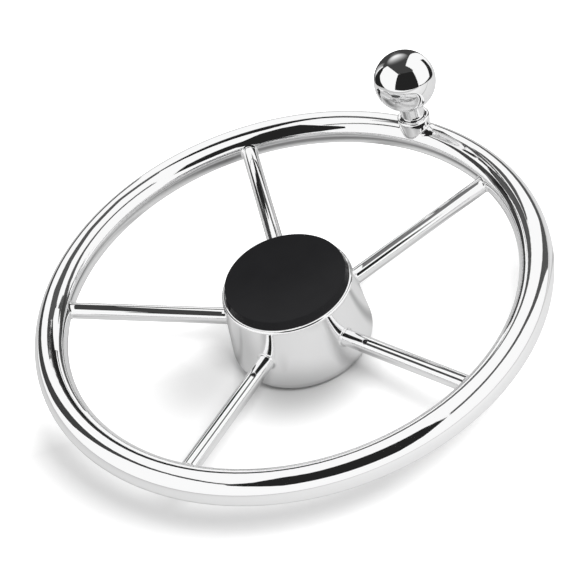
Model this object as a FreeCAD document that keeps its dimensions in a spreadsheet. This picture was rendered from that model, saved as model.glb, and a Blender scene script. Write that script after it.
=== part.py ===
"""Stainless steel boat steering wheel with five rod spokes, a drawn hub cup, a black push-in
centre cap and a spinner knob on the rim.

Millimetres, +Z up. The origin is the centre of the hub's back face, on the shaft's axis, and +Z
points along the shaft towards the helmsman, so the wheel lies on its hub with the rim level.
"""
import FreeCAD, Part
import math
import os
import Sketcher
from FreeCAD import Placement, Rotation, Vector

doc = FreeCAD.newDocument("steering_wheel")

# Driving dimensions, in millimetres and degrees
SIZES = (
    ("wheel_diameter", 343.0),
    ("rim_tube_diameter", 22.0),
    ("rim_tube_wall", 1.5),
    ("rim_height", 45.0),
    ("spoke_diameter", 11.0),
    ("spoke_hub_height", 27.0),
    ("spoke_first_angle", 90.0),
    ("hub_height", 53.0),
    ("hub_base_diameter", 95.6),
    ("hub_lip_diameter", 86.6),
    ("hub_mouth_diameter", 78.0),
    ("hub_sheet", 1.5),
    ("hub_base_rounding", 7.0),
    ("hub_lip_rounding", 2.2),
    ("boss_height", 32.0),
    ("boss_diameter", 34.0),
    ("boss_spigot_diameter", 38.0),
    ("boss_flange_diameter", 54.0),
    ("boss_flange_thickness", 3.0),
    ("boss_bevel", 0.8),
    ("shaft_diameter", 19.05),
    ("shaft_taper_ratio", 12.0),
    ("keyway_width", 4.76),
    ("keyway_depth", 2.4),
    ("cap_diameter", 82.8),
    ("cap_top_diameter", 79.6),
    ("cap_height", 5.9),
    ("cap_edge_rounding", 0.6),
    ("cap_thickness", 2.6),
    ("cap_skirt_length", 11.0),
    ("cap_skirt_wall", 2.0),
    ("cap_skirt_clearance", 0.3),
    ("cap_rib_thickness", 1.6),
    ("cap_rib_depth", 4.5),
    ("cap_centre_post", 12.0),
    ("ring_section", 2.4),
    ("ring_grip", 0.6),
    ("ring_slack", 0.1),
    ("knob_angle", 44.5),
    ("ball_diameter", 42.0),
    ("ball_rise", 37.9),
    ("neck_diameter", 16.2),
    ("neck_fillet", 0.8),
    ("knob_bore", 12.0),
    ("knob_bore_short", 6.5),
    ("drill_point", 3.6),
    ("socket_rise", 8.0),
    ("socket_mouth_diameter", 23.2),
    ("socket_foot_diameter", 17.4),
    ("socket_lip_rounding", 2.2),
    ("socket_cup_depth", 4.0),
    ("socket_cup_clearance", 0.5),
    ("spindle_foot_diameter", 8.0),
    ("spindle_foot_reach", 1.1),
    ("spindle_shank_diameter", 9.2),
    ("spindle_collar_diameter", 11.4),
    ("spindle_collar_thickness", 2.0),
    ("spindle_journal_diameter", 10.0),
    ("spindle_chamfer", 0.6),
    ("spindle_top_gap", 0.6),
    ("bush_length", 8.0),
    ("bush_clearance", 0.05),
    ("axial_gap", 0.3),
    ("base_washer_thickness", 0.9),
    ("thrust_washer_thickness", 0.8),
    ("washer_clearance", 0.15),
    ("retainer_land", 2.1),
    ("retainer_thickness", 1.0),
    ("retainer_side_clearance", 0.05),
    ("retainer_seat_depth", 0.7),
    ("retainer_slit", 3.0),
    ("collar_lift", 0.6),
)
SPOKE_COUNT = 5
CAP_RIB_COUNT = 6

sheet = doc.addObject("Spreadsheet::Sheet", "sizes")
for row, (alias, value) in enumerate(SIZES, start=1):
    sheet.set(f"A{row}", alias)
    sheet.set(f"B{row}", str(value))
    sheet.setAlias(f"B{row}", alias)
doc.recompute()

# Lengths worked out from the sheet, as expressions
RIM_RADIUS = "(sizes.wheel_diameter - sizes.rim_tube_diameter) / 2"
TUBE_RADIUS = "sizes.rim_tube_diameter / 2"
TUBE_BORE_RADIUS = "(sizes.rim_tube_diameter / 2 - sizes.rim_tube_wall)"

HUB_BASE_RADIUS = "sizes.hub_base_diameter / 2"
HUB_LIP_RADIUS = "sizes.hub_lip_diameter / 2"
HUB_MOUTH_RADIUS = "sizes.hub_mouth_diameter / 2"
HUB_TAPER = "((sizes.hub_base_diameter - sizes.hub_lip_diameter) / 2 / sizes.hub_height)"
HUB_WALL_ACROSS = f"(sizes.hub_sheet * sqrt(1 + {HUB_TAPER} ^ 2))"
HUB_CAVITY_BASE = f"({HUB_BASE_RADIUS} - {HUB_TAPER} * sizes.hub_sheet - {HUB_WALL_ACROSS})"
HUB_CAVITY_TOP = f"({HUB_LIP_RADIUS} + {HUB_TAPER} * sizes.hub_sheet - {HUB_WALL_ACROSS})"
HUB_CAVITY_CEILING = "(sizes.hub_height - sizes.hub_sheet)"

FLANGE_TOP = "(sizes.hub_sheet + sizes.boss_flange_thickness)"
SHAFT_RADIUS = "sizes.shaft_diameter / 2"
SHAFT_END_RADIUS = "(sizes.shaft_diameter - sizes.boss_height / sizes.shaft_taper_ratio) / 2"

CAP_TOP = "(sizes.hub_height + sizes.cap_height)"
CAP_CEILING = "(sizes.hub_height + sizes.cap_height - sizes.cap_thickness)"
CAP_SKIRT_END = "(sizes.hub_height - sizes.cap_skirt_length)"
CAP_SKIRT_RADIUS = "(sizes.hub_mouth_diameter / 2 - sizes.cap_skirt_clearance)"
CAP_SKIRT_BORE_RADIUS = f"({CAP_SKIRT_RADIUS} - sizes.cap_skirt_wall)"
RING_OUTER_RADIUS = "(sizes.hub_mouth_diameter / 2 + sizes.ring_grip)"
RING_RADIUS = f"({RING_OUTER_RADIUS} - sizes.ring_section / 2)"
RING_SEAT_RADIUS = f"({RING_OUTER_RADIUS} - sizes.ring_section)"
RING_SEAT_TOP = HUB_CAVITY_CEILING
RING_SEAT_END = f"({HUB_CAVITY_CEILING} - sizes.ring_section - 2 * sizes.ring_slack)"
RING_HEIGHT = f"({HUB_CAVITY_CEILING} - sizes.ring_section / 2 - sizes.ring_slack)"

# Heights in the knob, measured along its own axis from the middle of the rim tube
SOCKET_TOP = f"({TUBE_RADIUS} + sizes.socket_rise)"
BALL_CENTRE = f"({TUBE_RADIUS} + sizes.ball_rise)"
FOOT_END = f"({TUBE_BORE_RADIUS} - sizes.spindle_foot_reach)"
CUP_FLOOR = f"({SOCKET_TOP} - sizes.socket_cup_depth)"
CUP_RADIUS = "(sizes.neck_diameter / 2 + sizes.socket_cup_clearance)"
BASE_WASHER_TOP = f"({CUP_FLOOR} + sizes.base_washer_thickness)"
NECK_END = f"({BASE_WASHER_TOP} + sizes.axial_gap)"
SEAT_START = f"({NECK_END} + sizes.retainer_land)"
RETAINER_START = f"({SEAT_START} + sizes.retainer_side_clearance)"
RETAINER_END = f"({RETAINER_START} + sizes.retainer_thickness)"
SEAT_END = f"({RETAINER_END} + sizes.retainer_side_clearance)"
COLLAR_START = f"({SEAT_END} + sizes.collar_lift)"
COLLAR_END = f"({COLLAR_START} + sizes.spindle_collar_thickness)"
THRUST_START = f"({COLLAR_END} + sizes.axial_gap)"
LOWER_BUSH_START = f"({THRUST_START} + sizes.thrust_washer_thickness)"
BORE_TOP = f"({BALL_CENTRE} - sizes.knob_bore_short)"
UPPER_BUSH_START = f"({BORE_TOP} - sizes.bush_length)"
SPINDLE_TOP = f"({BORE_TOP} - sizes.spindle_top_gap)"
BORE_RADIUS = "sizes.knob_bore / 2"
SEAT_RADIUS = f"({BORE_RADIUS} + sizes.retainer_seat_depth)"
JOURNAL_RADIUS = "sizes.spindle_journal_diameter / 2"
BUSH_BORE_RADIUS = f"({JOURNAL_RADIUS} + sizes.bush_clearance)"
SHANK_RADIUS = "sizes.spindle_shank_diameter / 2"


def value_of(expression):
    """The number that a sheet expression gives."""
    result = sheet.evalExpression(expression)
    return float(getattr(result, "Value", result))


def new_body(label):
    """A body for one piece; its label is the node's name."""
    body = doc.addObject("PartDesign::Body", label)
    body.Label = label
    return body


def lay_on_plane(body, item, role):
    """Attach a sketch or a primitive to one of the body's own origin planes."""
    plane = next(f for f in body.Origin.OriginFeatures if f.Role == role)
    item.AttachmentSupport = [(plane, "")]
    item.MapMode = "FlatFace"


def new_sketch(body, name, role, height="0"):
    """A sketch on one of the body's own origin planes, lifted along the plane's normal."""
    sketch = body.newObject("Sketcher::SketchObject", f"{body.Name}_{name}")
    lay_on_plane(body, sketch, role)
    if height != "0":
        sketch.setExpression("AttachmentOffset.Base.z", height)
    return sketch


def place_point(sketch, geometry, end, name, x, y):
    """Hold one point of the sketch at a pair of sheet expressions."""
    for kind, axis, expression in (("DistanceX", -2, x), ("DistanceY", -1, y)):
        if expression == "0":
            sketch.addConstraint(Sketcher.Constraint("PointOnObject", geometry, end, axis))
            continue
        value = value_of(expression)
        index = sketch.addConstraint(Sketcher.Constraint(kind, -1, 1, geometry, end, value))
        sketch.renameConstraint(index, f"{name}_{kind[-1].lower()}")
        sketch.setExpression(f"Constraints[{index}]", expression)


def add_polygon(sketch, points):
    """A closed outline through corners given as pairs of sheet expressions."""
    corners = [Vector(value_of(x), value_of(y), 0) for x, y in points]
    first = sketch.GeometryCount
    count = len(corners)
    for i in range(count):
        sketch.addGeometry(Part.LineSegment(corners[i], corners[(i + 1) % count]))
    for i in range(count):
        following = first + (i + 1) % count
        sketch.addConstraint(Sketcher.Constraint("Coincident", first + i, 2, following, 1))
    for i, (x, y) in enumerate(points):
        place_point(sketch, first + i, 1, f"corner{first + i}", x, y)


def add_circle(sketch, radius, x="0", y="0"):
    """A circle whose centre and radius follow sheet expressions."""
    centre = Vector(value_of(x), value_of(y), 0)
    circle = Part.Circle(centre, Vector(0, 0, 1), value_of(radius))
    index = sketch.addGeometry(circle)
    place_point(sketch, index, 3, f"centre{index}", x, y)
    held = sketch.addConstraint(Sketcher.Constraint("Radius", index, value_of(radius)))
    sketch.renameConstraint(held, f"radius{index}")
    sketch.setExpression(f"Constraints[{held}]", radius)


def turn(body, kind, name, sketch, axis="V_Axis"):
    """Revolve a sketch through a full turn, adding (Revolution) or cutting (Groove)."""
    feature = body.newObject(f"PartDesign::{kind}", f"{body.Name}_{name}")
    feature.Profile = sketch
    feature.ReferenceAxis = (sketch, [axis])
    feature.Angle = 360.0
    doc.recompute()
    return feature


def turned_profile(body, kind, name, points):
    """Revolve a polygon, drawn in the body's XZ plane, about the body's Z axis."""
    sketch = new_sketch(body, f"{name}_outline", "XZ_Plane")
    add_polygon(sketch, points)
    return turn(body, kind, name, sketch)


def extrude(body, kind, name, sketch, length, reverse=False):
    """Pad or pocket a sketch by a length that follows a sheet expression."""
    feature = body.newObject(f"PartDesign::{kind}", f"{body.Name}_{name}")
    feature.Profile = sketch
    feature.Reversed = reverse
    feature.setExpression("Length", length)
    doc.recompute()
    return feature


def ring_edges(feature, radius, height):
    """Names of the feature's circular edges with this radius and height."""
    names = []
    for number, edge in enumerate(feature.Shape.Edges, start=1):
        if edge.Degenerated or not isinstance(edge.Curve, Part.Circle):
            continue
        circle = edge.Curve
        same_radius = math.isclose(circle.Radius, value_of(radius), abs_tol=1e-4)
        if same_radius and math.isclose(circle.Center.z, value_of(height), abs_tol=1e-4):
            names.append(f"Edge{number}")
    return names


def soften(body, kind, name, edges, size):
    """Round (Fillet) or bevel (Chamfer) named edges of the body's last feature."""
    base = body.Tip
    feature = body.newObject(f"PartDesign::{kind}", f"{body.Name}_{name}")
    feature.Base = (base, edges)
    feature.setExpression("Radius" if kind == "Fillet" else "Size", size)
    doc.recompute()
    return feature


def ring_piece(label, inner, outer, start, length):
    """A plain ring about the body's Z axis, such as a bush or a washer."""
    body = new_body(label)
    sketch = new_sketch(body, "ring", "XY_Plane", start)
    add_circle(sketch, outer)
    add_circle(sketch, inner)
    extrude(body, "Pad", "ring_pad", sketch, length)
    return body


def stand_on_rim(body):
    """Place a knob piece: its own origin in the rim tube's middle, its X axis outwards."""
    body.setExpression("Placement.Base.x", f"{RIM_RADIUS} * cos(sizes.knob_angle)")
    body.setExpression("Placement.Base.y", f"{RIM_RADIUS} * sin(sizes.knob_angle)")
    body.setExpression("Placement.Base.z", "sizes.rim_height")
    body.Placement.Rotation = Rotation(Vector(0, 0, 1), value_of("sizes.knob_angle"))
    body.setExpression("Placement.Rotation.Angle", "sizes.knob_angle")


# Rim: one length of round tube bent to a ring and welded to itself, drilled for the knob's spindle
def make_rim_tube():
    body = new_body("rim_tube")
    section = new_sketch(body, "section", "XZ_Plane")
    add_circle(section, TUBE_RADIUS, RIM_RADIUS, "sizes.rim_height")
    add_circle(section, TUBE_BORE_RADIUS, RIM_RADIUS, "sizes.rim_height")
    turn(body, "Revolution", "ring", section)
    drilling = new_sketch(body, "drilling", "XY_Plane", "sizes.rim_height")
    add_circle(drilling, "sizes.spindle_foot_diameter / 2", RIM_RADIUS, "0")
    extrude(body, "Pocket", "spindle_hole", drilling, "sizes.rim_tube_diameter", reverse=True)
    body.Placement.Rotation = Rotation(Vector(0, 0, 1), value_of("sizes.knob_angle"))
    body.setExpression("Placement.Rotation.Angle", "sizes.knob_angle")
    return body


# Spoke: a solid round rod that climbs from the hub wall to the middle of the rim tube, with both
# ends coped to the surface that they are welded to
def make_spoke(index):
    body = new_body(f"spoke_{index + 1}")
    run = f"({RIM_RADIUS} - {HUB_LIP_RADIUS})"
    slope = f"((sizes.rim_height - sizes.spoke_hub_height) / {run})"
    sunk = "(2 * sizes.hub_sheet)"
    rod = body.newObject("PartDesign::AdditiveCylinder", f"{body.Name}_rod")
    lay_on_plane(body, rod, "XY_Plane")
    rod.AttachmentOffset = Placement(Vector(0, 0, 0), Rotation(Vector(0, 1, 0), 90.0))
    rod.setExpression("Radius", "sizes.spoke_diameter / 2")
    rod.setExpression("AttachmentOffset.Base.x", f"{HUB_LIP_RADIUS} - {sunk}")
    rod.setExpression("AttachmentOffset.Base.z", f"sizes.spoke_hub_height - {sunk} * {slope}")
    rod.setExpression("AttachmentOffset.Rotation.Angle", f"90 deg - atan({slope})")
    rod.setExpression("Height", f"({run} + {sunk}) * sqrt(1 + {slope} ^ 2)")
    doc.recompute()
    turned_profile(body, "Groove", "hub_cope", (
        ("0", "0"),
        (HUB_BASE_RADIUS, "0"),
        (HUB_LIP_RADIUS, "sizes.hub_height"),
        ("0", "sizes.hub_height"),
    ))
    rim_section = new_sketch(body, "rim_section", "XZ_Plane")
    add_circle(rim_section, TUBE_RADIUS, RIM_RADIUS, "sizes.rim_height")
    turn(body, "Groove", "rim_cope", rim_section)
    angle = f"sizes.spoke_first_angle + {index} * 360 / {SPOKE_COUNT}"
    body.Placement.Rotation = Rotation(Vector(0, 0, 1), value_of(angle))
    body.setExpression("Placement.Rotation.Angle", angle)
    return body


# Hub cup: drawn from one sheet, wider at its back, with its lip turned in round the cap's mouth
def make_hub_shell():
    body = new_body("hub_shell")
    turned_profile(body, "Revolution", "blank", (
        ("0", "0"),
        (HUB_BASE_RADIUS, "0"),
        (HUB_LIP_RADIUS, "sizes.hub_height"),
        ("0", "sizes.hub_height"),
    ))
    turned_profile(body, "Groove", "cavity", (
        ("0", "0"),
        ("sizes.boss_spigot_diameter / 2", "0"),
        ("sizes.boss_spigot_diameter / 2", "sizes.hub_sheet"),
        (HUB_CAVITY_BASE, "sizes.hub_sheet"),
        (HUB_CAVITY_TOP, HUB_CAVITY_CEILING),
        (HUB_MOUTH_RADIUS, HUB_CAVITY_CEILING),
        (HUB_MOUTH_RADIUS, "sizes.hub_height"),
        ("0", "sizes.hub_height"),
    ))
    inner_base = "sizes.hub_base_rounding - sizes.hub_sheet"
    inner_lip = "sizes.hub_lip_rounding - sizes.hub_sheet"
    for name, radius, height, rounding in (
        ("inner_base_round", HUB_CAVITY_BASE, "sizes.hub_sheet", inner_base),
        ("inner_lip_round", HUB_CAVITY_TOP, HUB_CAVITY_CEILING, inner_lip),
        ("base_round", HUB_BASE_RADIUS, "0", "sizes.hub_base_rounding"),
        ("lip_round", HUB_LIP_RADIUS, "sizes.hub_height", "sizes.hub_lip_rounding"),
    ):
        soften(body, "Fillet", name, ring_edges(body.Tip, radius, height), rounding)
    return body


# Hub boss: turned, welded into the cup's bottom, with the tapered and keyed shaft bore
def make_hub_boss():
    body = new_body("hub_boss")
    turned_profile(body, "Revolution", "blank", (
        ("0", "0"),
        ("sizes.boss_spigot_diameter / 2", "0"),
        ("sizes.boss_spigot_diameter / 2", "sizes.hub_sheet"),
        ("sizes.boss_flange_diameter / 2", "sizes.hub_sheet"),
        ("sizes.boss_flange_diameter / 2", FLANGE_TOP),
        ("sizes.boss_diameter / 2", FLANGE_TOP),
        ("sizes.boss_diameter / 2", "sizes.boss_height"),
        ("0", "sizes.boss_height"),
    ))
    turned_profile(body, "Groove", "shaft_taper", (
        ("0", "0"),
        (SHAFT_RADIUS, "0"),
        (SHAFT_END_RADIUS, "sizes.boss_height"),
        ("0", "sizes.boss_height"),
    ))
    keyway = new_sketch(body, "keyway_outline", "XY_Plane")
    reach = f"{SHAFT_RADIUS} + sizes.keyway_depth"
    add_polygon(keyway, (
        ("0 - sizes.keyway_width / 2", "0"),
        ("sizes.keyway_width / 2", "0"),
        ("sizes.keyway_width / 2", reach),
        ("0 - sizes.keyway_width / 2", reach),
    ))
    extrude(body, "Pocket", "keyway", keyway, "sizes.boss_height", reverse=True)
    nose = ring_edges(body.Tip, "sizes.boss_diameter / 2", "sizes.boss_height")
    soften(body, "Chamfer", "nose_bevel", nose, "sizes.boss_bevel")
    return body


# Centre cap: black moulding whose rim rests on the cup's lip and whose skirt reaches inside
def make_centre_cap():
    body = new_body("centre_cap")
    blank = turned_profile(body, "Revolution", "moulding", (
        ("0", CAP_CEILING),
        (CAP_SKIRT_BORE_RADIUS, CAP_CEILING),
        (CAP_SKIRT_BORE_RADIUS, CAP_SKIRT_END),
        (CAP_SKIRT_RADIUS, CAP_SKIRT_END),
        (CAP_SKIRT_RADIUS, RING_SEAT_END),
        (RING_SEAT_RADIUS, RING_SEAT_END),
        (RING_SEAT_RADIUS, RING_SEAT_TOP),
        (CAP_SKIRT_RADIUS, RING_SEAT_TOP),
        (CAP_SKIRT_RADIUS, "sizes.hub_height"),
        ("sizes.cap_diameter / 2", "sizes.hub_height"),
        ("sizes.cap_top_diameter / 2", CAP_TOP),
        ("0", CAP_TOP),
    ))
    top_edge = ring_edges(blank, "sizes.cap_top_diameter / 2", CAP_TOP)
    soften(body, "Fillet", "top_round", top_edge, "sizes.cap_edge_rounding")
    post = new_sketch(body, "post_circle", "XY_Plane", CAP_CEILING)
    add_circle(post, "sizes.cap_centre_post / 2")
    extrude(body, "Pad", "centre_post", post, "sizes.cap_rib_depth", reverse=True)
    rib = new_sketch(body, "rib_outline", "XY_Plane", CAP_CEILING)
    rib_end = f"({CAP_SKIRT_BORE_RADIUS} + sizes.cap_skirt_wall / 2)"
    rib_start = "sizes.cap_centre_post / 4"
    add_polygon(rib, (
        (rib_start, "0 - sizes.cap_rib_thickness / 2"),
        (rib_end, "0 - sizes.cap_rib_thickness / 2"),
        (rib_end, "sizes.cap_rib_thickness / 2"),
        (rib_start, "sizes.cap_rib_thickness / 2"),
    ))
    web = extrude(body, "Pad", "rib", rib, "sizes.cap_rib_depth", reverse=True)
    ribs = body.newObject("PartDesign::PolarPattern", f"{body.Name}_ribs")
    ribs.Originals = [web]
    ribs.Axis = (rib, ["N_Axis"])
    ribs.Angle = 360.0
    ribs.Occurrences = CAP_RIB_COUNT
    body.Tip = ribs
    doc.recompute()
    return body


# Rubber ring in the skirt's groove; it snaps under the turned-in lip and holds the cap down
def make_cap_ring():
    ring = doc.addObject("Part::Torus", "cap_o_ring")
    ring.Label = "cap_o_ring"
    ring.setExpression("Radius1", RING_RADIUS)
    ring.setExpression("Radius2", "sizes.ring_section / 2")
    ring.setExpression("Placement.Base.z", RING_HEIGHT)
    return ring


# Knob socket: a tapered cup coped over the rim tube and welded to it
def make_knob_socket():
    body = new_body("knob_socket")
    blank = turned_profile(body, "Revolution", "blank", (
        ("0", "0"),
        ("sizes.socket_foot_diameter / 2", "0"),
        ("sizes.socket_mouth_diameter / 2", SOCKET_TOP),
        ("0", SOCKET_TOP),
    ))
    mouth = ring_edges(blank, "sizes.socket_mouth_diameter / 2", SOCKET_TOP)
    soften(body, "Fillet", "mouth_round", mouth, "sizes.socket_lip_rounding")
    turned_profile(body, "Groove", "cup", (
        ("0", "0"),
        ("sizes.spindle_foot_diameter / 2", "0"),
        ("sizes.spindle_foot_diameter / 2", CUP_FLOOR),
        (CUP_RADIUS, CUP_FLOOR),
        (CUP_RADIUS, SOCKET_TOP),
        ("0", SOCKET_TOP),
    ))
    cope = new_sketch(body, "rim_section", "XZ_Plane")
    add_circle(cope, TUBE_RADIUS)
    wheel_axis_x = f"0 - {RIM_RADIUS}"
    axis_start = Vector(value_of(wheel_axis_x), 0, 0)
    axis_end = Vector(value_of(wheel_axis_x), value_of(SOCKET_TOP), 0)
    axis = cope.addGeometry(Part.LineSegment(axis_start, axis_end), True)
    place_point(cope, axis, 1, "axis_start", wheel_axis_x, "0")
    place_point(cope, axis, 2, "axis_end", wheel_axis_x, SOCKET_TOP)
    turn(body, "Groove", "rim_cope", cope, "Axis0")
    stand_on_rim(body)
    return body


# Knob spindle: welded through the socket's floor and the tube's wall; its collar is held captive
# in the knob's neck by the retaining ring
def make_knob_spindle():
    body = new_body("knob_spindle")
    blank = turned_profile(body, "Revolution", "blank", (
        ("0", FOOT_END),
        ("sizes.spindle_foot_diameter / 2", FOOT_END),
        ("sizes.spindle_foot_diameter / 2", CUP_FLOOR),
        (SHANK_RADIUS, CUP_FLOOR),
        (SHANK_RADIUS, COLLAR_START),
        ("sizes.spindle_collar_diameter / 2", COLLAR_START),
        ("sizes.spindle_collar_diameter / 2", COLLAR_END),
        (JOURNAL_RADIUS, COLLAR_END),
        (JOURNAL_RADIUS, SPINDLE_TOP),
        ("0", SPINDLE_TOP),
    ))
    ends = ring_edges(blank, JOURNAL_RADIUS, SPINDLE_TOP)
    ends += ring_edges(blank, "sizes.spindle_foot_diameter / 2", FOOT_END)
    soften(body, "Chamfer", "end_bevels", ends, "sizes.spindle_chamfer")
    stand_on_rim(body)
    return body


# Knob ball: ball and neck turned from one bar, bored from below for the bushes and the ring
def make_knob_ball():
    body = new_body("knob_ball")
    ball = body.newObject("PartDesign::AdditiveSphere", f"{body.Name}_ball")
    lay_on_plane(body, ball, "XY_Plane")
    ball.setExpression("Radius", "sizes.ball_diameter / 2")
    ball.setExpression("AttachmentOffset.Base.z", BALL_CENTRE)
    doc.recompute()
    neck = new_sketch(body, "neck_circle", "XY_Plane", NECK_END)
    add_circle(neck, "sizes.neck_diameter / 2")
    extrude(body, "Pad", "neck", neck, f"{BALL_CENTRE} - {NECK_END}")
    meeting = f"{BALL_CENTRE} - sqrt((sizes.ball_diameter / 2) ^ 2 - (sizes.neck_diameter / 2) ^ 2)"
    root = ring_edges(body.Tip, "sizes.neck_diameter / 2", meeting)
    soften(body, "Fillet", "neck_root", root, "sizes.neck_fillet")
    turned_profile(body, "Groove", "bore", (
        ("0", NECK_END),
        (BORE_RADIUS, NECK_END),
        (BORE_RADIUS, SEAT_START),
        (SEAT_RADIUS, SEAT_START),
        (SEAT_RADIUS, SEAT_END),
        (BORE_RADIUS, SEAT_END),
        (BORE_RADIUS, BORE_TOP),
        ("0", f"{BORE_TOP} + sizes.drill_point"),
    ))
    stand_on_rim(body)
    return body


# Retaining ring: a spring ring with a slit, sprung into the seat inside the neck
def make_retaining_ring():
    body = ring_piece(
        "knob_retaining_ring",
        f"{SHANK_RADIUS} + sizes.axial_gap",
        f"{SEAT_RADIUS} - sizes.retainer_side_clearance",
        RETAINER_START,
        "sizes.retainer_thickness",
    )
    slit = new_sketch(body, "slit_outline", "XY_Plane", RETAINER_START)
    add_polygon(slit, (
        ("0", "0 - sizes.retainer_slit / 2"),
        (SEAT_RADIUS, "0 - sizes.retainer_slit / 2"),
        (SEAT_RADIUS, "sizes.retainer_slit / 2"),
        ("0", "sizes.retainer_slit / 2"),
    ))
    extrude(body, "Pocket", "slit", slit, "sizes.retainer_thickness", reverse=True)
    return body


def make_knob_rings():
    """The bushes, washers and retaining ring round the spindle."""
    base_washer = ring_piece(
        "knob_base_washer",
        f"{SHANK_RADIUS} + sizes.washer_clearance",
        f"{CUP_RADIUS} - sizes.washer_clearance",
        CUP_FLOOR,
        "sizes.base_washer_thickness",
    )
    thrust_washer = ring_piece(
        "knob_thrust_washer",
        f"{JOURNAL_RADIUS} + sizes.washer_clearance",
        f"{BORE_RADIUS} - sizes.washer_clearance",
        THRUST_START,
        "sizes.thrust_washer_thickness",
    )
    lower_bush = ring_piece("knob_lower_bush", BUSH_BORE_RADIUS, BORE_RADIUS,
                            LOWER_BUSH_START, "sizes.bush_length")
    upper_bush = ring_piece("knob_upper_bush", BUSH_BORE_RADIUS, BORE_RADIUS,
                            UPPER_BUSH_START, "sizes.bush_length")
    pieces = [base_washer, make_retaining_ring(), thrust_washer, lower_bush, upper_bush]
    for piece in pieces:
        stand_on_rim(piece)
    return pieces


def check_and_export(pieces):
    """Stop on any failed object or bad solid, then write one STEP file for each piece."""
    failed = [f"{item.Name}: {item.getStatusString()}" for item in doc.Objects
              if {"Invalid", "Error"} & set(item.State)]
    if failed:
        raise RuntimeError(f"objects that did not rebuild: {failed}")
    for piece in pieces:
        if piece.Shape.isNull() or not piece.Shape.isValid():
            raise RuntimeError(f"{piece.Label} has no valid shape")
    os.makedirs("parts", exist_ok=True)
    for piece in pieces:
        piece.Shape.exportStep(os.path.join("parts", f"{piece.Label}.step"))
        box = piece.Shape.BoundBox
        print(f"{piece.Label}: {len(piece.Shape.Solids)} solid, {piece.Shape.Volume / 1000:.2f} cm3, "
              f"z {box.ZMin:.2f} to {box.ZMax:.2f}")


all_pieces = [make_rim_tube()]
all_pieces += [make_spoke(i) for i in range(SPOKE_COUNT)]
all_pieces += [make_hub_shell(), make_hub_boss(), make_centre_cap(), make_cap_ring()]
all_pieces += [make_knob_socket(), make_knob_spindle(), make_knob_ball()]
all_pieces += make_knob_rings()
doc.recompute()
check_and_export(all_pieces)
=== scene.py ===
"""Dresses the stainless boat steering wheel for its picture.

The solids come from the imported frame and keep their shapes. This script gives each of them its
finish, adds the small weld beads that join them, and sets up the floor, the soft studio and the
camera. Lengths are in metres in the wheel's own frame: the shaft's axis is Z and the wheel lies on
the back of its hub. The studio's cards and floor shades are placed in millimetres.
"""
import logging
import math
from dataclasses import dataclass
from enum import Enum
from typing import Callable, Sequence

import bmesh
import bpy
from mathutils import Matrix, Vector


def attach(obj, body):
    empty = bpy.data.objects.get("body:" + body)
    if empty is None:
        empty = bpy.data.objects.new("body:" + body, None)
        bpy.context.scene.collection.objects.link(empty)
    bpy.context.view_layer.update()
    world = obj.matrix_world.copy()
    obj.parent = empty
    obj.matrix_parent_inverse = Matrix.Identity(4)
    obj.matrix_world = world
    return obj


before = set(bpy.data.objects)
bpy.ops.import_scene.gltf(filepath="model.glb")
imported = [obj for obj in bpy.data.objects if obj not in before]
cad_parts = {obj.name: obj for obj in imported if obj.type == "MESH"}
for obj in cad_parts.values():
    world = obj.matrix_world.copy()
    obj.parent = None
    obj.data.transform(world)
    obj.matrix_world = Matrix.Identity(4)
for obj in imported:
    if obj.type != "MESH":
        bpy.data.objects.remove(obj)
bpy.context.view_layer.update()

MM = 0.001
UP = Vector((0.0, 0.0, 1.0))
WHEEL_BODY = "wheel"
MIX_COLOUR_A = 6
MIX_COLOUR_B = 7
MIX_COLOUR_RESULT = 2
LOG = logging.getLogger("steering_wheel")

Colour = tuple[float, float, float]
Corner = tuple[float, float, float]


class Lay(Enum):
    """Which way the lines left by polishing or turning run over a piece."""

    ALONG_RIM = "along the rim's tube"
    ROUND_SPOKE = "round the spoke's rod"
    ROUND_SHAFT = "round the wheel's own axis"
    ROUND_KNOB = "round the knob's axis"


class Rise(Enum):
    """How a number climbs over a span."""

    STRAIGHT = "LINEAR"
    SOFT = "SMOOTHSTEP"


@dataclass(frozen=True)
class Wire:
    """One output socket of a node tree. Arithmetic on it adds Math nodes."""

    tree: "Tree"
    socket: bpy.types.NodeSocket

    def __add__(self, other: "Wire | float") -> "Wire":
        """Sum."""
        return self.tree.maths("ADD", self, other)

    def __radd__(self, other: float) -> "Wire":
        """Sum with a plain number first."""
        return self.tree.maths("ADD", other, self)

    def __sub__(self, other: "Wire | float") -> "Wire":
        """Difference."""
        return self.tree.maths("SUBTRACT", self, other)

    def __rsub__(self, other: float) -> "Wire":
        """Difference with a plain number first."""
        return self.tree.maths("SUBTRACT", other, self)

    def __mul__(self, other: "Wire | float") -> "Wire":
        """Product."""
        return self.tree.maths("MULTIPLY", self, other)

    def __rmul__(self, other: float) -> "Wire":
        """Product with a plain number first."""
        return self.tree.maths("MULTIPLY", other, self)


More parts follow.
